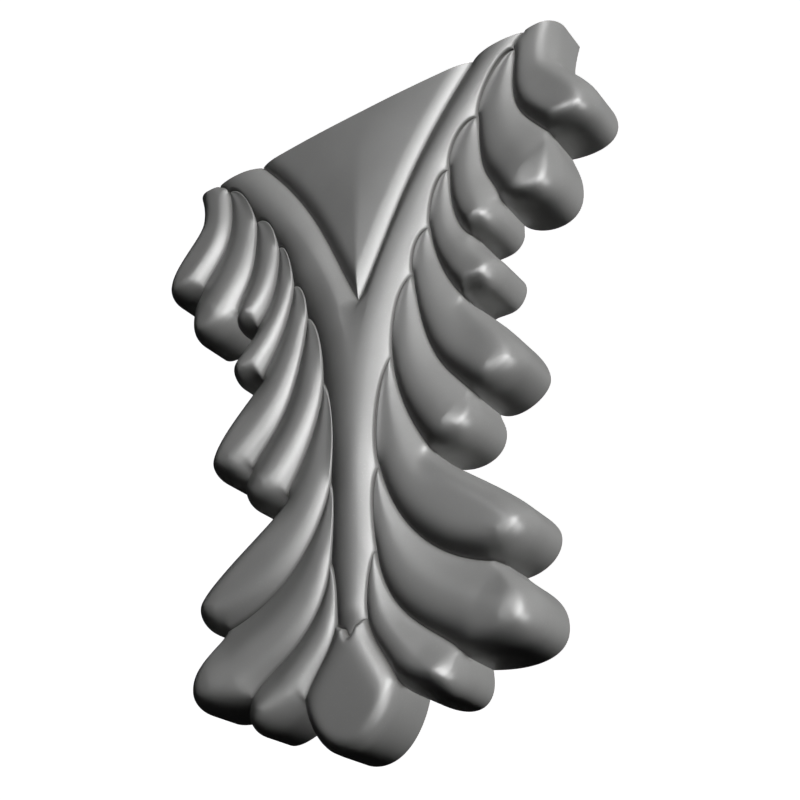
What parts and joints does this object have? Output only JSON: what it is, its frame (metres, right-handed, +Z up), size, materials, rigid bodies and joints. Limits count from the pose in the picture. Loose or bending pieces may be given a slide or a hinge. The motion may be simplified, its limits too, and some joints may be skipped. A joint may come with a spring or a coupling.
{
  "type": "decorative leaf onlay",
  "caption": "Flat-backed acanthus leaf onlay with a Y-shaped rib, a plain panel between its branches and puffed finger lobes, for fixing to a door, wall or mantel.",
  "frame": {"origin": "on the flat back, on the leaf's centreline, at half its height", "axes": "+Z up the leaf towards the flat cut top, +X to the right as one faces the carving, +Y out of the flat back towards the wall"},
  "size_m": [0.19, 0.0201, 0.24],
  "materials": {
    "primer": "satin grey primer on a smooth moulded face"
  },
  "bodies": {
    "root": {"leaf_onlay": "primer"}
  },
  "joints": []
}
